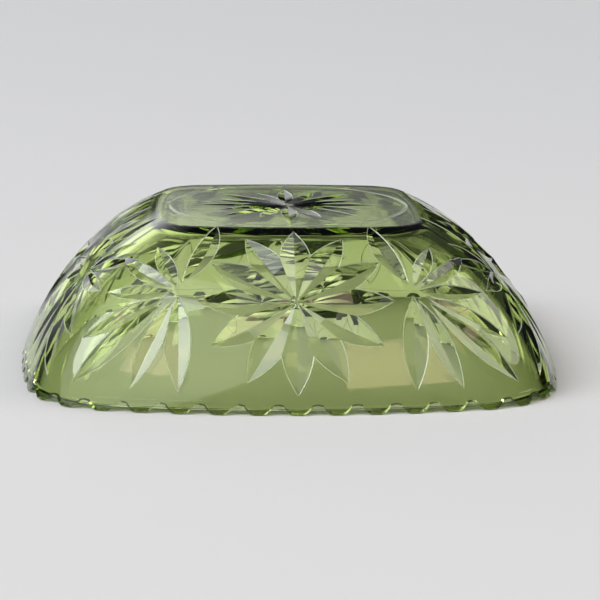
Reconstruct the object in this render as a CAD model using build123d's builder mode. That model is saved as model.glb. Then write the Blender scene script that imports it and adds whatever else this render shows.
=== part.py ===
from build123d import *
import math
import os

# A square pressed-glass dish, standing upside down on its scalloped rim.
# The origin is in the middle of the rim plane, +Z runs up to the base, and sizes are in millimetres.

# The body
WIDTH = 190.0  # across the rim, from the middle of one side to the middle of the other
HEIGHT = 52.0
BASE_INSET = 48.5  # how far the wall has leaned in where it meets the base
SIDE_BOW = 310.0  # plan radius of a bowed side at the rim
RIM_CORNER = 34.0  # plan radius of the corners at the rim
BASE_CORNER = 15.0  # and where the wall meets the base
WALL_TURN = 49.6  # degrees that the wall's curved profile turns through
GLASS = 5.2  # wall thickness
BASE_GLASS = 5.4  # base thickness
LEVELS = 7  # plan outlines that the wall is lofted through

# The rim
RIM_BAND = 5.5  # height of the rim, scallops included
RIM_ROUND = 1.2  # radius inside the rim's edge
LOBES = 13  # scallops in a quarter of the rim
LOBE_DEPTH = 2.7
LOBE_RADIUS = 5.1
LOBE_FOOT = 0.15  # how much of each lobe's round is cut off by the rim plane
LOBE_REACH = 2.6  # how far the scallops go into the glass
CUT_MARGIN = 3.0  # how far a cutter starts outside the glass

# The V cuts: every petal has two flat faces that meet in a keel, deepest halfway along
CUT_SLOPE = 18.0  # degrees between a petal's faces and the uncut glass
CUTTER_RISE = 5.0  # how far a cutter reaches out of the glass
KEEL_CLEAR = 0.12  # how far a cutter's two ends stand clear of the glass
STAR_PETALS = 12
STAR_RADIUS = 32.5
STAR_ALONG = 38.6  # from the rim, along the wall, to the star's centre
STAR_DEPTH = 1.7
STAR_EYE = 0.7  # radius of the uncut spot in the middle of a star
FAN_ACROSS = 38.5  # from the middle of a side to a fan's centre
FAN_ALONG = 42.5
BASE_PETALS = 16
BASE_STAR_LONG = 34.0
BASE_STAR_SHORT = 28.0
BASE_STAR_DEPTH = 0.95
BASE_RING = 42.6  # radius of the fine ring round the base star
RING_DEPTH = 0.22
RING_HALF_WIDTH = 0.9

# Each leaf of the right-hand fan: direction in degrees from level outwards, start, tip, depth of cut
FAN_LEAVES = (
    (-6, 1.5, 25.5, 1.0),
    (-31, 5.0, 38.5, 1.1),
    (-44, 7.0, 50.0, 1.25),
    (-66, 4.0, 38.5, 1.15),
    (-90, 2.0, 35.5, 1.4),
    (30, 2.0, 24.0, 1.05),
    (68, 1.5, 20.0, 1.0),
    (112, 3.0, 34.5, 1.2),
)

# Worked out from the sizes above
BOW_CENTRE = SIDE_BOW - WIDTH / 2
CHORD = math.hypot(BASE_INSET, HEIGHT)
WALL_R = CHORD / 2 / math.sin(math.radians(WALL_TURN / 2))
RIM_LEAN = math.atan2(BASE_INSET, HEIGHT) - math.radians(WALL_TURN / 2)
WALL_LENGTH = WALL_R * math.radians(WALL_TURN)


def outer_wall(along):
    """Inset, height and lean of the outer wall at a length along it from the rim."""
    lean = RIM_LEAN + along / WALL_R
    inset = WALL_R * (math.cos(RIM_LEAN) - math.cos(lean))
    return inset, WALL_R * (math.sin(lean) - math.sin(RIM_LEAN)), lean


def inner_wall(z):
    """Inset of the inner wall at a height: its arc has the outer arc's centre."""
    rise = z + WALL_R * math.sin(RIM_LEAN)
    return WALL_R * math.cos(RIM_LEAN) - math.sqrt((WALL_R - GLASS) ** 2 - rise**2)


def corner_at(inset):
    """Plan radius of the corners of the outline at an inset: they tighten towards the base."""
    return RIM_CORNER + (BASE_CORNER - RIM_CORNER) * inset / BASE_INSET


def corner_centre(inset):
    """How far along both axes a corner's centre lies, for the outline at an inset."""
    reach = SIDE_BOW - inset - corner_at(inset)
    return (math.sqrt(2 * reach**2 - BOW_CENTRE**2) - BOW_CENTRE) / 2


def bow_turn_at(inset):
    """Turn of a bowed side from its middle to where the round corner begins."""
    centre = corner_centre(inset)
    return math.atan2(centre, centre + BOW_CENTRE)


def front_outline(across, inset):
    """Plan point and turn of the outward normal, at a length along the front side from its middle."""
    bow = SIDE_BOW - inset
    centre = corner_centre(inset)
    bow_turn = bow_turn_at(inset)
    side = math.copysign(1, across)
    length = abs(across)
    if length <= bow * bow_turn:
        turn = length / bow
        x, y = bow * math.sin(turn), BOW_CENTRE - bow * math.cos(turn)
    else:
        corner = corner_at(inset)
        turn = bow_turn + (length - bow * bow_turn) / corner
        x, y = centre + corner * math.sin(turn), -centre - corner * math.cos(turn)
    return side * x, y, side * turn


def front_wall_point(across, along):
    """Point on the front wall and its outward normal, at lengths across and along the wall."""
    inset, z, lean = outer_wall(along)
    x, y, turn = front_outline(across, inset)
    out = Vector(math.sin(turn), -math.cos(turn), 0)
    return Vector(x, y, z), out * math.cos(lean) + Vector(0, 0, 1) * math.sin(lean)


def bowed_square(inset, z):
    """The dish's plan at one level: what four large circles share, with round corners."""
    bow = SIDE_BOW - inset
    with BuildSketch(Plane.XY.offset(z), mode=Mode.PRIVATE) as outline:
        with Locations((0, BOW_CENTRE)):
            Circle(bow)
        for centre in ((0, -BOW_CENTRE), (BOW_CENTRE, 0), (-BOW_CENTRE, 0)):
            with Locations(centre):
                Circle(bow, mode=Mode.INTERSECT)
        fillet(outline.vertices(), corner_at(inset))
    return outline.sketch


def petal_cutter(start, middle, tip, normal, depth):
    """A V section swept along a keel that runs a depth below the glass halfway between its ends."""
    half_width = CUTTER_RISE / math.tan(math.radians(CUT_SLOPE))
    with BuildPart(mode=Mode.PRIVATE) as cutter:
        with BuildLine() as keel:
            ThreePointArc(start, middle - normal * depth, tip)
        across = normal.cross(tip - start)
        with BuildSketch(Plane(origin=start, x_dir=across, z_dir=keel.line % 0)):
            Polygon((0, 0), (half_width, CUTTER_RISE), (-half_width, CUTTER_RISE), align=None)
        sweep()
    return cutter.part


def wall_petal(across, along, direction, start, tip, depth):
    """The cutter for one petal of the front wall, from start to tip out of a star's or fan's centre."""
    heading = math.radians(direction)
    points = []
    for reach in (start, (start + tip) / 2, tip):
        place = (across + reach * math.cos(heading), along + reach * math.sin(heading))
        points.append(front_wall_point(*place))
    clear_ends = [point + normal * KEEL_CLEAR for point, normal in (points[0], points[2])]
    middle, normal = points[1]
    return petal_cutter(clear_ends[0], middle, clear_ends[1], normal, depth)


def base_petal(direction, tip):
    """The cutter for one petal of the base star."""
    outward = Vector(math.cos(math.radians(direction)), math.sin(math.radians(direction)), 0)
    eye = Vector(0, 0, HEIGHT + KEEL_CLEAR) + outward * STAR_EYE
    middle = Vector(0, 0, HEIGHT) + outward * ((STAR_EYE + tip) / 2)
    end = Vector(0, 0, HEIGHT + KEEL_CLEAR) + outward * tip
    return petal_cutter(eye, middle, end, Vector(0, 0, 1), BASE_STAR_DEPTH)


# The hollow body of glass: the outer form less the form of the plunger that presses the inside
def outer_form():
    with BuildPart(mode=Mode.PRIVATE) as form:
        for level in range(LEVELS):
            inset, z, _ = outer_wall(WALL_LENGTH * level / (LEVELS - 1))
            add(bowed_square(inset, z))
        loft()
    return form.part


def plunger_form():
    top = HEIGHT - BASE_GLASS
    with BuildPart(mode=Mode.PRIVATE) as form:
        for level in range(LEVELS):
            z = top * level / (LEVELS - 1)
            add(bowed_square(inner_wall(z), z))
        loft()
    return form.part


with BuildPart() as body:
    add(outer_form())
    add(plunger_form(), mode=Mode.SUBTRACT)
    rim_foot = body.faces().sort_by(Axis.Z)[0]
    fillet(rim_foot.inner_wires()[0].edges(), RIM_ROUND)

# The base: the flat plate that the bottom of the mould forms, with its cut star and ring
with BuildPart() as base:
    add(bowed_square(BASE_INSET, HEIGHT - BASE_GLASS))
    extrude(amount=BASE_GLASS)
    for petal in range(BASE_PETALS):
        tip = BASE_STAR_LONG if petal % 2 == 0 else BASE_STAR_SHORT
        add(base_petal(360 / BASE_PETALS * petal, tip), mode=Mode.SUBTRACT)
    with BuildSketch(Plane.XZ):
        with Locations((BASE_RING, HEIGHT)):
            wide = 2 * RING_HALF_WIDTH
            Polygon((-wide, RING_DEPTH), (0, -RING_DEPTH), (wide, RING_DEPTH), align=None)
    revolve(axis=Axis.Z, mode=Mode.SUBTRACT)

# The rim: the plain band round the mouth, with scallops cut into its outer edge
half_side = SIDE_BOW * bow_turn_at(0) + RIM_CORNER * (math.pi / 4 - bow_turn_at(0))
pitch = 2 * half_side / LOBES


def scallop_cutter(across, side):
    """The gap between two round lobes, at a length along one side of the rim."""
    x, y, turn = front_outline(across, 0)
    out = Vector(math.sin(turn), -math.cos(turn), 0)
    inner_end = Vector(x, y, 0) - out * LOBE_REACH
    gap_plane = Plane(origin=inner_end, x_dir=out.cross(Vector(0, 0, 1)) * -1, z_dir=out)
    with BuildPart(mode=Mode.PRIVATE) as cutter:
        with BuildSketch(gap_plane):
            Rectangle(pitch, 2 * LOBE_DEPTH)
            with Locations((-pitch / 2, LOBE_RADIUS - LOBE_FOOT), (pitch / 2, LOBE_RADIUS - LOBE_FOOT)):
                Circle(LOBE_RADIUS, mode=Mode.SUBTRACT)
        extrude(amount=LOBE_REACH + CUT_MARGIN)
    return cutter.part.rotate(Axis.Z, 90 * side)


with BuildPart() as rim:
    add(body.part)
    with BuildSketch():
        Rectangle(2 * WIDTH, 2 * WIDTH)
    extrude(amount=RIM_BAND, mode=Mode.INTERSECT)
    for side in range(4):
        for lobe in range(LOBES):
            add(scallop_cutter(pitch * (lobe - (LOBES - 1) / 2 + 0.5), side), mode=Mode.SUBTRACT)

# The walls: four like sides that meet on the corners' diagonals, as the four leaves of the mould do
with BuildPart() as front_wall:
    add(body.part)
    with BuildSketch(Plane.XY.offset(RIM_BAND)):
        Polygon((0, 0), (-WIDTH, -WIDTH), (WIDTH, -WIDTH), align=None)
    extrude(amount=HEIGHT - RIM_BAND, mode=Mode.INTERSECT)
    add(bowed_square(BASE_INSET, HEIGHT - BASE_GLASS))
    extrude(amount=BASE_GLASS, mode=Mode.SUBTRACT)
    for petal in range(STAR_PETALS):
        direction = 360 / STAR_PETALS * petal
        add(wall_petal(0, STAR_ALONG, direction, STAR_EYE, STAR_RADIUS, STAR_DEPTH), mode=Mode.SUBTRACT)
    for direction, start, tip, depth in FAN_LEAVES:
        add(wall_petal(FAN_ACROSS, FAN_ALONG, direction, start, tip, depth), mode=Mode.SUBTRACT)
        add(wall_petal(-FAN_ACROSS, FAN_ALONG, 180 - direction, start, tip, depth), mode=Mode.SUBTRACT)

WALLS = ("front_wall", "right_wall", "back_wall", "left_wall")
pieces = {"base": base.part, "rim": rim.part}
for side, name in enumerate(WALLS):
    pieces[name] = front_wall.part.rotate(Axis.Z, 90 * side)

os.makedirs("parts", exist_ok=True)
for name, piece in pieces.items():
    piece.label = name
    export_step(piece, f"parts/{name}.step")
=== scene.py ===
import math

import bmesh
import bpy
from mathutils import Matrix, Vector


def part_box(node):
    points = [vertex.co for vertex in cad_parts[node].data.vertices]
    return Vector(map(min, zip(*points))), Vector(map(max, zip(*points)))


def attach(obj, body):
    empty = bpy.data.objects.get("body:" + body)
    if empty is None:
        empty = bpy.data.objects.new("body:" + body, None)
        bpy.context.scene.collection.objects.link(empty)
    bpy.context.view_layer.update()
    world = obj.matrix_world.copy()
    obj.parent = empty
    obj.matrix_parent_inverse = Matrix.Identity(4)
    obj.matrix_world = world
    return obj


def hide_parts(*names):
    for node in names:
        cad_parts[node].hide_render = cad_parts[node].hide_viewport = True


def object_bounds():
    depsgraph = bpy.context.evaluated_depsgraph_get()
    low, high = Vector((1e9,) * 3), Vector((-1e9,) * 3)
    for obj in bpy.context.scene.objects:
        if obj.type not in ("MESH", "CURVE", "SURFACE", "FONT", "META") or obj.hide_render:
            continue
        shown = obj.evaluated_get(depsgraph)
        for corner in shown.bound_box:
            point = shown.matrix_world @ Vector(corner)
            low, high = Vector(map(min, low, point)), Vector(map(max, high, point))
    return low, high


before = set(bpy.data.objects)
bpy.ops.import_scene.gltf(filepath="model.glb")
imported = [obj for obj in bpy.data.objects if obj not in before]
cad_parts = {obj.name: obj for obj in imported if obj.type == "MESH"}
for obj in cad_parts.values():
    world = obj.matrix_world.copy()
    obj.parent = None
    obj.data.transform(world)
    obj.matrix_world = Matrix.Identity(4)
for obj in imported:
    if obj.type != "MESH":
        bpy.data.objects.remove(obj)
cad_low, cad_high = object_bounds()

scene = bpy.context.scene

# The camera: a long lens a little above the table, nearly square to one side of the dish. It is
# rolled by less than a degree, and aims just right of the middle.
camera_turn = math.radians(-3.02)
camera_rise = math.radians(12.47)
camera_roll = math.radians(0.66)
camera_distance = 0.7
camera_aim = Vector((0.00505, 0.0, 0.01675))

camera_back = Vector((
    math.sin(camera_turn) * math.cos(camera_rise),
    -math.cos(camera_turn) * math.cos(camera_rise),
    math.sin(camera_rise),
))
camera_data = bpy.data.cameras.new("camera")
camera_data.sensor_width = 36.0
camera_data.lens = 115.25
camera_data.clip_start, camera_data.clip_end = 0.01, 50.0
camera = bpy.data.objects.new("camera", camera_data)
camera.rotation_mode = "QUATERNION"
camera.location = camera_aim + camera_back * camera_distance
camera.rotation_quaternion = (
    (-camera_back).to_track_quat("-Z", "Y") @ Matrix.Rotation(camera_roll, 4, "Z").to_quaternion()
)
scene.collection.objects.link(camera)
scene.camera = camera

# The table: a plain, pale, matt sheet that reaches past the top of the picture. The dish stands on it
# on its scallops.


class Value:
    """A shader socket that takes Python's own sums, and adds the Math nodes for them."""

    def __init__(self, tree, socket):
        self.tree, self.socket = tree, socket

    def math(self, operation, first, second):
        return Shader(self.tree).node("ShaderNodeMath", {"operation": operation}, {0: first, 1: second})

    def __add__(self, other):
        return self.math("ADD", self, other)

    def __mul__(self, other):
        return self.math("MULTIPLY", self, other)

    __radd__ = __add__
    __rmul__ = __mul__


class Shader:
    """The nodes of one material, or of the room."""

    def __init__(self, tree):
        self.tree = tree

    def node(self, kind, settings=None, inputs=None, output=0):
        """Adds a node: its settings first, then the values or links of its sockets."""
        made = self.tree.nodes.new(kind)
        for name, setting in (settings or {}).items():
            if name == "stops":
                ramp = made.color_ramp.elements
                while len(ramp) < len(setting):
                    ramp.new(0.5)
                for element, (place, colour) in zip(ramp, setting):
                    element.position, element.color = place, colour
            else:
                setattr(made, name, setting)
        for name, value in (inputs or {}).items():
            if isinstance(value, Value):
                self.tree.links.new(value.socket, made.inputs[name])
            else:
                made.inputs[name].default_value = value
        return Value(self.tree, made.outputs[output])

    def finish(self, **surfaces):
        """Joins what is given to the material's output."""
        end = self.tree.nodes.new("ShaderNodeOutputMaterial")
        for name, value in surfaces.items():
            self.tree.links.new(value.socket, end.inputs[name])


def new_shader(name):
    """An empty material and its shader."""
    material = bpy.data.materials.new(name)
    material.use_nodes = True
    material.node_tree.nodes.clear()
    return material, Shader(material.node_tree)


FLOOR_HALF = 6.0
FLOOR_DROP = 0.00015
floor_mesh = bpy.data.meshes.new("floor")
floor_shape = bmesh.new()
bmesh.ops.create_grid(floor_shape, x_segments=1, y_segments=1, size=FLOOR_HALF)
floor_shape.to_mesh(floor_mesh)
floor_shape.free()
floor = bpy.data.objects.new("floor", floor_mesh)
floor.location.z = -FLOOR_DROP
scene.collection.objects.link(floor)
floor_paint, paint = new_shader("floor_paint")
matt = paint.node(
    "ShaderNodeBsdfPrincipled",
    inputs={"Base Color": (0.655, 0.65, 0.655, 1.0), "Roughness": 0.75, "Specular IOR Level": 0.2},
    output="BSDF",
)
paint.finish(Surface=matt)
floor_mesh.materials.append(floor_paint)


# The light: three broad soft lamps, from the left in front, the left and the right, and three window
# panes in front of the dish that show in the glass. Each lamp: name, turn from the front towards the
# right, rise, spread in degrees, strength and colour.
for name, turn, rise, spread, strength, colour in (
    ("broad_light", -55, 46, 76, 1.52, (0.96, 0.985, 1.0)),
    ("left_window", -77, 43, 30, 1.45, (0.93, 0.97, 1.0)),
    ("side_light", 100, 45, 40, 1.0, (1.0, 0.97, 0.92)),
):
    lamp_data = bpy.data.lights.new(name, "SUN")
    lamp_data.angle = math.radians(spread)
    lamp_data.energy = strength
    lamp_data.color = colour
    lamp = bpy.data.objects.new(name, lamp_data)
    turn, rise = math.radians(turn), math.radians(rise)
    level = math.cos(rise)
    towards = Vector((math.sin(turn) * level, -math.cos(turn) * level, math.sin(rise)))
    lamp.rotation_mode = "QUATERNION"
    lamp.rotation_quaternion = towards.to_track_quat("Z", "Y")
    scene.collection.objects.link(lamp)

# Each pane: name, place, width and height, power and colour. It faces the middle of the dish.
for name, place, size, power, colour in (
    ("warm_window", (0.40, -1.05, 1.0), (0.42, 0.55), 1.9, (1.0, 0.70, 0.56)),
    ("pale_window", (-0.47, -0.39, 1.37), (0.50, 0.40), 2.2, (0.90, 0.96, 1.0)),
    ("left_warm_window", (-0.45, -1.02, 1.0), (0.18, 0.30), 0.45, (1.0, 0.72, 0.58)),
):
    pane_data = bpy.data.lights.new(name, "AREA")
    pane_data.shape = "RECTANGLE"
    pane_data.size, pane_data.size_y = size
    pane_data.energy = power
    pane_data.color = colour
    pane = bpy.data.objects.new(name, pane_data)
    pane.location = place
    pane.rotation_mode = "QUATERNION"
    pane.rotation_quaternion = pane.location.to_track_quat("Z", "Y")
    scene.collection.objects.link(pane)

# The room: dim, with one pale patch low down behind the dish on the left. The patch fades out a little
# above the level of the table.
PATCH_WAY = (-0.42, 0.87, 0.22)
ROOM_STRENGTH = 1.4
world = bpy.data.worlds.new("room")
scene.world = world
world.use_nodes = True
world.node_tree.nodes.clear()
room = Shader(world.node_tree)
direction = room.node("ShaderNodeTexCoord", output="Generated")
pale = room.node(
    "ShaderNodeVectorMath", {"operation": "DOT_PRODUCT"}, {0: direction, 1: PATCH_WAY}, output="Value")
patch_stops = (
    (0.86, (0.03, 0.03, 0.035, 1)),
    (0.94, (0.30, 0.30, 0.31, 1)),
    (0.985, (1.1, 1.1, 1.12, 1)),
)
glow = room.node("ShaderNodeValToRGB", {"stops": patch_stops}, {"Fac": pale * 0.5 + 0.5}, output="Color")
up = room.node("ShaderNodeSeparateXYZ", inputs={"Vector": direction}, output="Z")
above = room.node(
    "ShaderNodeMapRange", inputs={"Value": up, "From Min": 0.12, "From Max": 0.19, "To Min": 0.05})
glow = room.node("ShaderNodeVectorMath", {"operation": "SCALE"}, {0: glow, "Scale": above}, output="Vector")
surround = room.node("ShaderNodeBackground", inputs={"Color": glow, "Strength": ROOM_STRENGTH})
world_end = world.node_tree.nodes.new("ShaderNodeOutputWorld")
world.node_tree.links.new(surround.socket, world_end.inputs["Surface"])

# The blank: one pressed piece of glass, before its pattern. Its plan is a square with bowed sides and
# round corners, which tighten towards the base. Its wall leans in on one arc from rim to base, and its
# inside is smooth.
WIDTH = cad_high.x - cad_low.x
HEIGHT = cad_high.z
base_low, base_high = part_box("base")
BASE_INSET = (WIDTH - (base_high.x - base_low.x)) / 2
SIDE_BOW = 0.310
RIM_CORNER = 0.034
BASE_CORNER = 0.015
WALL_TURN = math.radians(49.6)
GLASS = 0.0052
FLOOR_ROUND = 0.012
FLOOR_TOP = base_low.z
BOW_CENTRE = SIDE_BOW - WIDTH / 2
WALL_R = math.hypot(BASE_INSET, HEIGHT) / 2 / math.sin(WALL_TURN / 2)
RIM_LEAN = math.atan2(BASE_INSET, HEIGHT) - WALL_TURN / 2
WALL_LENGTH = WALL_R * WALL_TURN
BAND_LENGTH, BAND_STEP = 0.0045, 0.00012
ARRIS = 0.3
SAME_HEIGHT = 1e-6


def outer_wall(along):
    """Inset, height and lean of the outer wall, at a length along it from the rim."""
    lean = RIM_LEAN + along / WALL_R
    inset = WALL_R * (math.cos(RIM_LEAN) - math.cos(lean))
    return inset, WALL_R * (math.sin(lean) - math.sin(RIM_LEAN)), lean


def corner_at(inset):
    """Plan radius of the corners of the outline at an inset: they tighten towards the base."""
    return RIM_CORNER + (BASE_CORNER - RIM_CORNER) * inset / BASE_INSET


def bow_turn_at(inset):
    """How far a bowed side turns between its middle and the round corner, and how far along both axes
    that corner's centre lies."""
    reach = SIDE_BOW - inset - corner_at(inset)
    centre = (math.sqrt(2 * reach**2 - BOW_CENTRE**2) - BOW_CENTRE) / 2
    return math.atan2(centre, centre + BOW_CENTRE), centre


def half_side(inset):
    """Length from the middle of a side to the middle of a corner, for the outline at an inset."""
    turn, _ = bow_turn_at(inset)
    return (SIDE_BOW - inset) * turn + corner_at(inset) * (math.pi / 4 - turn)


def outline(side, across, inset):
    """Plan point and outward direction at a length across one side, from its middle. Side 0 is the
    front."""
    bow = SIDE_BOW - inset
    bow_turn, centre = bow_turn_at(inset)
    length = abs(across)
    if length <= bow * bow_turn:
        turn = length / bow
        x, y = bow * math.sin(turn), BOW_CENTRE - bow * math.cos(turn)
    else:
        corner = corner_at(inset)
        turn = bow_turn + (length - bow * bow_turn) / corner
        x, y = centre + corner * math.sin(turn), -centre - corner * math.cos(turn)
    if across < 0:
        x, turn = -x, -turn
    to_side = Matrix.Rotation(side * math.pi / 2, 3, "Z")
    return to_side @ Vector((x, y, 0)), to_side @ Vector((math.sin(turn), -math.cos(turn), 0))


def blank_profile():
    """Inset and height of each ring of the blank: down the outer wall, under the rim and up inside."""
    outer_steps, inner_steps, round_steps = 48, 36, 12
    profile = []
    for step in range(outer_steps + 1):
        along = WALL_LENGTH * (1 - step / outer_steps)
        inset, z, _ = outer_wall(along)
        if along < BAND_LENGTH:
            inset -= BAND_STEP * along / BAND_LENGTH
        if profile and along < BAND_LENGTH < along + WALL_LENGTH / outer_steps:
            band_inset, band_z, _ = outer_wall(BAND_LENGTH)
            profile += [(band_inset, band_z), (band_inset - BAND_STEP, band_z - BAND_STEP)]
        profile.append((inset, z))
    below = WALL_R * math.sin(RIM_LEAN)
    low = math.asin(below / (WALL_R - GLASS))
    high = math.asin((FLOOR_TOP - FLOOR_ROUND + below) / (WALL_R - GLASS - FLOOR_ROUND))
    for step in range(inner_steps + 1):
        lean = low + (high - low) * step / inner_steps
        inset = WALL_R * math.cos(RIM_LEAN) - (WALL_R - GLASS) * math.cos(lean)
        profile.append((inset, (WALL_R - GLASS) * math.sin(lean) - below))
    round_inset = WALL_R * math.cos(RIM_LEAN) - (WALL_R - GLASS - FLOOR_ROUND) * math.cos(high)
    for step in range(1, round_steps + 1):
        lean = high + (math.pi / 2 - high) * step / round_steps
        z = FLOOR_TOP - FLOOR_ROUND * (1 - math.sin(lean))
        profile.append((round_inset - FLOOR_ROUND * math.cos(lean), z))
    return profile


def shape_ring(verts, share, inset, z):
    """Moves a ring of points to the dish's outline at an inset. share is where each lies round it,
    from 0 to 4."""
    half = half_side(inset)
    for vert in verts:
        side = int(vert[share])
        point, _ = outline(side, (vert[share] - side - 0.5) * 2 * half, inset)
        vert.co = point + Vector((0, 0, z))


def press_blank(round_steps=448):
    """The blank: a ring of points, drawn out ring by ring along the profile and closed at both ends."""
    shape = bmesh.new()
    share = shape.verts.layers.float.new("share")
    shape.faces.layers.float.new("worn")
    bmesh.ops.create_circle(shape, cap_ends=False, segments=round_steps, radius=WIDTH / 2)
    for vert in shape.verts:
        angle = math.atan2(vert.co.y, vert.co.x) + 3 * math.pi / 4
        vert[share] = (angle % (2 * math.pi)) / (math.pi / 2)
    rings = blank_profile()
    shape_ring(shape.verts, share, *rings[0])
    ring = list(shape.edges)
    bmesh.ops.contextual_create(shape, geom=ring)
    for inset, z in rings[1:]:
        grown = bmesh.ops.extrude_edge_only(shape, edges=ring)["geom"]
        ring = [item for item in grown if isinstance(item, bmesh.types.BMEdge)]
        shape_ring([item for item in grown if isinstance(item, bmesh.types.BMVert)], share, inset, z)
    bmesh.ops.contextual_create(shape, geom=ring)
    bmesh.ops.recalc_face_normals(shape, faces=shape.faces)
    return shape


blank = press_blank()
rim_outside, rim_inside, shoulder = [], [], []
for edge in blank.edges:
    middle = (edge.verts[0].co + edge.verts[1].co) / 2
    level = abs(edge.verts[0].co.z - edge.verts[1].co.z) < SAME_HEIGHT
    if level and edge.calc_face_angle(0) > ARRIS:
        outward = max(face.normal.dot(middle.to_2d().to_3d().normalized()) for face in edge.link_faces)
        if middle.z < SAME_HEIGHT:
            (rim_outside if outward > 0.5 else rim_inside).append(edge)
        elif abs(middle.z - HEIGHT) < SAME_HEIGHT:
            shoulder.append(edge)
for edges, size, segments in (
    (rim_outside, 0.0004, 4), (rim_inside, 0.0012, 6), (shoulder, 0.0007, 2)
):
    bmesh.ops.bevel(
        blank, geom=edges, offset=size, segments=segments, profile=0.5, affect="EDGES", material=-1)
dish_mesh = bpy.data.meshes.new("dish")
blank.to_mesh(dish_mesh)
blank.free()
dish = bpy.data.objects.new("dish", dish_mesh)
scene.collection.objects.link(dish)


def cut_from_dish(cutters):
    """Takes cutters that stay clear of each other out of the dish, in one go."""
    tool_mesh = bpy.data.meshes.new("cutters")
    cutters.to_mesh(tool_mesh)
    cutters.free()
    tool = bpy.data.objects.new("cutters", tool_mesh)
    scene.collection.objects.link(tool)
    cutting = dish.modifiers.new("cut", "BOOLEAN")
    cutting.operation, cutting.solver, cutting.object = "DIFFERENCE", "MANIFOLD", tool
    bpy.context.view_layer.update()
    cut_dish = dish.evaluated_get(bpy.context.evaluated_depsgraph_get())
    cut_mesh = bpy.data.meshes.new_from_object(cut_dish)
    dish.modifiers.clear()
    dish.data = cut_mesh
    bpy.data.objects.remove(tool)


# The petals: shallow cuts in the pressed pattern. Each has a narrow steep edge all round, and inside
# it two faces that fall gently to a keel. A straight bar of that section is laid along the glass to
# cut it.
PETAL_SLOPE = math.tan(math.radians(18.0))
EDGE_SLOPE = math.tan(math.radians(34.0))
EDGE = 0.00032
LEAST_FOOT = 0.00002
LEAST_LIFT = 0.00003
BAR_CLEAR = 0.0001
BAR_FLARE = 0.0002
BAR_RISE = 0.0014
BAR_STEPS = 22
BAR_OVERRUN = 0.05
BAR_EDGES = 7


def straight_bar():
    """A bar of unit length along Z with seven long edges. Its faces that cut a petal's steep edge are
    marked to carry a painted whitish highlight."""
    bar = bmesh.new()
    bmesh.ops.create_cone(bar, cap_ends=True, segments=BAR_EDGES, radius1=1, radius2=1, depth=1)
    long_edges = [e for e in bar.edges if abs(e.verts[0].co.z - e.verts[1].co.z) > 0.5]
    bmesh.ops.subdivide_edges(bar, edges=long_edges, cuts=BAR_STEPS - 1, use_grid_fill=True)
    worn = bar.faces.layers.float.new("worn")
    turns = sorted({round(math.atan2(v.co.y, v.co.x), 3) for v in bar.verts})
    for face in bar.faces:
        sides = sorted({turns.index(round(math.atan2(v.co.y, v.co.x), 3)) for v in face.verts})
        face[worn] = 1.0 if sides in ([1, 2], [4, 5]) else 0.0
    return bar


def bar_section(way, width):
    """Distance aside and height over the glass of the bar's seven edges: the keel is the middle one."""
    half = width * 2 * way * (1 - way)
    edge = min(EDGE, abs(half) / 2)
    foot = max(half - edge, LEAST_FOOT)
    foot_height = -edge * EDGE_SLOPE if half > 0 else -half * EDGE_SLOPE
    keel = foot_height - foot * PETAL_SLOPE
    clear_height = max(BAR_CLEAR, foot_height + LEAST_LIFT)
    clear = foot + (clear_height - foot_height) / EDGE_SLOPE
    right = ((foot, foot_height), (clear, clear_height), (clear + BAR_FLARE, BAR_RISE))
    return [(-aside, height) for aside, height in reversed(right)] + [(0.0, keel)] + list(right)


def lay_bar(bar, skin, centre, heading, start, tip, width, sway=0.0):
    """Lays a copy of the bar on the glass, to cut a petal from start to tip out of a centre. skin gives
    the point and normal at two lengths along the glass. sway is how far the middle stands to the
    left."""
    heading = math.radians(heading)
    ahead, left = (math.cos(heading), math.sin(heading)), (-math.sin(heading), math.cos(heading))
    edge_angles = sorted({round(math.atan2(v.co.y, v.co.x), 3) for v in bar.verts})
    laid = bar.copy()
    stations = {}
    for vert in laid.verts:
        station = round(vert.co.z, 5)
        if station not in stations:
            way = (vert.co.z + 0.5) * (1 + 2 * BAR_OVERRUN) - BAR_OVERRUN
            reach, bow = start + (tip - start) * way, sway * 4 * way * (1 - way)
            across = centre[0] + reach * ahead[0] + bow * left[0]
            along = centre[1] + reach * ahead[1] + bow * left[1]
            step = 1e-4
            point, normal = skin(across, along)
            by_across = (skin(across + step, along)[0] - point) / step
            by_along = (skin(across, along + step)[0] - point) / step
            level = normal.cross(by_across * ahead[0] + by_along * ahead[1]).normalized()
            grid = Matrix(((by_across.dot(by_across), by_across.dot(by_along)),
                           (by_across.dot(by_along), by_along.dot(by_along))))
            stride = grid.inverted() @ Vector((level.dot(by_across), level.dot(by_along)))
            stations[station] = (across, along, stride, bar_section(way, width))
        across, along, stride, section = stations[station]
        aside, height = section[edge_angles.index(round(math.atan2(vert.co.y, vert.co.x), 3))]
        point, normal = skin(across + aside * stride.x, along + aside * stride.y)
        vert.co = point + normal * height
    if laid.calc_volume(signed=True) < 0:
        bmesh.ops.reverse_faces(laid, faces=laid.faces)
    return laid


def gather(shapes):
    """All the shapes as one."""
    together = bmesh.new()
    passing = bpy.data.meshes.new("passing")
    for shape in shapes:
        shape.to_mesh(passing)
        shape.free()
        together.from_mesh(passing)
    bpy.data.meshes.remove(passing)
    return together


def wall_skin(side):
    """The outer glass of one wall, by lengths across it from its middle and along it from the rim."""

    def skin(across, along):
        inset, z, lean = outer_wall(along)
        point, out = outline(side, across, inset)
        return point + Vector((0, 0, z)), out * math.cos(lean) + Vector((0, 0, math.sin(lean)))

    return skin


def base_skin(across, along):
    """The outer glass of the base, by lengths from its middle."""
    return Vector((across, along, HEIGHT)), Vector((0, 0, 1))


bar = straight_bar()

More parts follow.
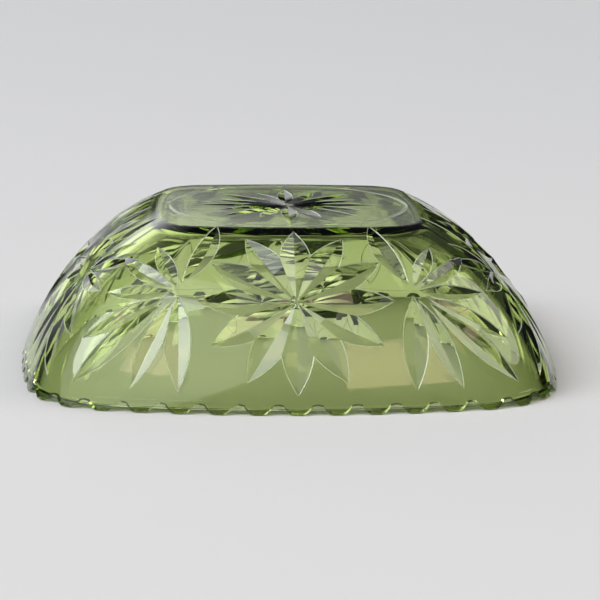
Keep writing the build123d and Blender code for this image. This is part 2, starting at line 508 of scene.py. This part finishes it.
# The side stars: twelve petals on each wall, pressed into the glass. They are cut in three rounds,
# because petals a quarter turn apart don't touch.
STAR_RADIUS = 0.0325
STAR_ALONG = 0.0386
STAR_EYE = 0.0004
STAR_WIDTH = 0.0110
for turn in range(3):
    petals = []
    for side in range(4):
        for quarter in range(4):
            heading = 30 * turn + 90 * quarter
            petals.append(lay_bar(
                bar, wall_skin(side), (0, STAR_ALONG), heading, STAR_EYE, STAR_RADIUS, STAR_WIDTH))
    cut_from_dish(gather(petals))

# The fans: eight slimmer leaves out of a point near each corner, on both sides of every star.
# Each leaf: direction from level outwards, start, tip, width, sway, and the round of cutting it is in.
FAN_ACROSS = 0.0385
FAN_ALONG = 0.0425
FAN_LEAVES = (
    (-6, 0.0015, 0.0255, 0.0062, 0.0, 0),
    (-31, 0.0050, 0.0385, 0.0066, 0.0, 1),
    (-44, 0.0070, 0.0500, 0.0078, 0.0, 2),
    (-66, 0.0040, 0.0385, 0.0070, 0.0, 3),
    (-90, 0.0020, 0.0355, 0.0086, 0.0, 0),
    (30, 0.0020, 0.0240, 0.0064, 0.0, 3),
    (68, 0.0015, 0.0200, 0.0062, 0.0, 1),
    (112, 0.0030, 0.0345, 0.0076, 0.0018, 2),
)
for turn in range(4):
    leaves = []
    for heading, start, tip, width, sway, round_of_cutting in FAN_LEAVES:
        if round_of_cutting == turn:
            for side in range(4):
                skin = wall_skin(side)
                right, left = (FAN_ACROSS, FAN_ALONG), (-FAN_ACROSS, FAN_ALONG)
                leaves.append(lay_bar(bar, skin, right, heading, start, tip, width, sway))
                leaves.append(lay_bar(bar, skin, left, 180 - heading, start, tip, width, -sway))
    cut_from_dish(gather(leaves))

# The base star: sixteen petals, long and short in turn, pressed into the flat that the dish stands on
# in use. They are cut in four rounds.
BASE_LONG, BASE_SHORT = 0.034, 0.028
BASE_WIDTH = 0.0058
for turn in range(4):
    petals = []
    for quarter in range(4):
        heading = 22.5 * turn + 90 * quarter
        tip = BASE_LONG if turn % 2 == 0 else BASE_SHORT
        petals.append(lay_bar(bar, base_skin, (0, 0), heading, STAR_EYE, tip, BASE_WIDTH))
    cut_from_dish(gather(petals))
bar.free()

# The ring: a fine, very shallow V line pressed into the base round its star. It is cut with a
# triangle spun through a full turn.
RING_RADIUS = 0.0426
RING_HALF, RING_DEPTH = 0.0009, 0.00022
RING_PAINTED_HIGHLIGHT = 0.7
ring_tool = bmesh.new()
worn = ring_tool.faces.layers.float.new("worn")
for aside, height in ((-2 * RING_HALF, RING_DEPTH), (0, -RING_DEPTH), (2 * RING_HALF, RING_DEPTH)):
    ring_tool.verts.new((RING_RADIUS + aside, 0, HEIGHT + height))
bmesh.ops.contextual_create(ring_tool, geom=ring_tool.verts)
bmesh.ops.spin(
    ring_tool, geom=ring_tool.verts[:] + ring_tool.edges[:] + ring_tool.faces[:], cent=(0, 0, 0),
    axis=(0, 0, 1), angle=2 * math.pi, steps=128, use_merge=True)
inner_faces = [face for face in ring_tool.faces if len(face.verts) == 3]
bmesh.ops.delete(ring_tool, geom=inner_faces, context="FACES_ONLY")
bmesh.ops.remove_doubles(ring_tool, verts=ring_tool.verts, dist=1e-6)
bmesh.ops.recalc_face_normals(ring_tool, faces=ring_tool.faces)
# Painted highlight: the ring's faces get a whitish diffuse paint, weaker than on the petals' edges.
for face in ring_tool.faces:
    face[worn] = RING_PAINTED_HIGHLIGHT
cut_from_dish(ring_tool)

# The scallops: round lobes along the outer edge of the rim, which the dish stands on here. Arched
# gaps are cut between them, in two rounds.
LOBES = 13
LOBE_DEPTH = 0.0027
LOBE_RADIUS = 0.0051
LOBE_FOOT = 0.00015
LOBE_REACH = 0.0026
GAP_ARCH = 0.0003
GAP_OVERRUN = 0.002
GAP_PAINTED_HIGHLIGHT = 0.35
PITCH = 2 * half_side(0) / LOBES
LOBE_SWING = math.acos(1 - (LOBE_DEPTH + LOBE_FOOT) / LOBE_RADIUS)


def gap_tool(side, across):
    """The gap between two lobes: their two rounds with an arch between, pushed into the rim from
    outside."""
    tool = bmesh.new()
    worn = tool.faces.layers.float.new("worn")
    start = tool.verts.new((-PITCH / 2, 0, -LOBE_FOOT))
    bmesh.ops.spin(tool, geom=[start], cent=(-PITCH / 2, 0, LOBE_RADIUS - LOBE_FOOT), axis=(0, -1, 0),
                   angle=LOBE_SWING, steps=10)
    top = max(tool.verts, key=lambda vert: vert.co.z)
    crown = bmesh.ops.extrude_vert_indiv(tool, verts=[top])["verts"][0]
    crown.co = (0, 0, LOBE_DEPTH + GAP_ARCH)
    bmesh.ops.mirror(tool, geom=tool.verts[:] + tool.edges[:], axis="X", merge_dist=1e-5)
    bmesh.ops.contextual_create(tool, geom=tool.edges)
    pushed = bmesh.ops.extrude_face_region(tool, geom=tool.faces[:])["geom"]
    outer_end = [item for item in pushed if isinstance(item, bmesh.types.BMVert)]
    bmesh.ops.translate(tool, verts=outer_end, vec=(0, -LOBE_REACH - GAP_OVERRUN, 0))
    if tool.calc_volume(signed=True) < 0:
        bmesh.ops.reverse_faces(tool, faces=tool.faces)
    # Painted highlight: the gap faces get a faint whitish diffuse paint.
    for face in tool.faces:
        face[worn] = GAP_PAINTED_HIGHLIGHT
    point, out = outline(side, across, 0)
    level = Vector((-out.y, out.x, 0))
    inner_end = point - out * LOBE_REACH
    place = Matrix((
        (level.x, -out.x, 0, inner_end.x),
        (level.y, -out.y, 0, inner_end.y),
        (0, 0, 1, 0),
        (0, 0, 0, 1),
    ))
    bmesh.ops.transform(tool, matrix=place, verts=tool.verts)
    return tool


for turn in range(2):
    gaps = []
    for gap in range(turn, 4 * LOBES, 2):
        side, place = divmod(gap, LOBES)
        gaps.append(gap_tool(side, PITCH * (place - (LOBES - 1) / 2 + 0.5)))
    cut_from_dish(gather(gaps))

# The surface: glossy glass, smooth across the blank's curves and round the rim's edges, and sharp at
# the edges of the cuts.
CREASE, RIM_CREASE = math.radians(5), math.radians(16)
RIM_TOP = 0.0040
SPECK = 2e-6
finished = bmesh.new()
finished.from_mesh(dish.data)
bmesh.ops.remove_doubles(finished, verts=finished.verts, dist=SPECK)
bmesh.ops.dissolve_degenerate(finished, edges=finished.edges, dist=SPECK)
for face in finished.faces:
    face.smooth = True
for edge in finished.edges:
    near_rim = max(vert.co.z for vert in edge.verts) < RIM_TOP
    edge.smooth = edge.calc_face_angle(0) < (RIM_CREASE if near_rim else CREASE)
finished.to_mesh(dish.data)
finished.free()

# The glass: transparent olive green right through, so that it darkens with depth. Its surface has a
# faint ripple, a painted whitish highlight along the cut edges, and is dulled at the very foot of the rim.
PAINTED_HIGHLIGHT_SHARE = 0.36
glass, melt = new_shader("olive_glass")
place = melt.node("ShaderNodeTexCoord", output="Object")
ripple = melt.node(
    "ShaderNodeTexNoise", inputs={"Vector": place, "Scale": 60.0, "Detail": 2.0}, output="Fac")
bump = melt.node(
    "ShaderNodeBump", inputs={"Strength": 0.10, "Distance": 0.0006, "Height": ripple}, output="Normal")
height = melt.node("ShaderNodeSeparateXYZ", inputs={"Vector": place}, output="Z")
dulled = melt.node(
    "ShaderNodeMapRange",
    inputs={"Value": height, "From Min": 0.0001, "From Max": 0.0003, "To Min": 0.55, "To Max": 0.02},
)
clear = melt.node(
    "ShaderNodeBsdfPrincipled",
    inputs={
        "Base Color": (0.98, 1.0, 0.96, 1.0),
        "Roughness": dulled,
        "IOR": 1.52,
        "Transmission Weight": 1.0,
        "Normal": bump,
    },
    output="BSDF",
)
depth_tint = melt.node(
    "ShaderNodeVolumeAbsorption",
    inputs={"Color": (0.64, 0.78, 0.02, 1.0), "Density": 110.0},
    output="Volume",
)
# Whitish diffuse paint, mixed in by the face weights: painted highlight lines along the cut edges, the base
# ring and the gaps between the lobes.
highlight_paint = melt.node("ShaderNodeBsdfDiffuse", inputs={"Color": (0.80, 0.90, 0.68, 1.0)})
worn = melt.node("ShaderNodeAttribute", {"attribute_name": "worn"}, output="Fac")
surface = melt.node("ShaderNodeMixShader", inputs={0: worn * PAINTED_HIGHLIGHT_SHARE, 1: clear, 2: highlight_paint})
melt.finish(Surface=surface, Volume=depth_tint)
dish.data.materials.clear()
dish.data.materials.append(glass)
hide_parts("base", "rim", "front_wall", "right_wall", "back_wall", "left_wall")
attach(dish, "root")

scene.view_settings.view_transform = "Standard"
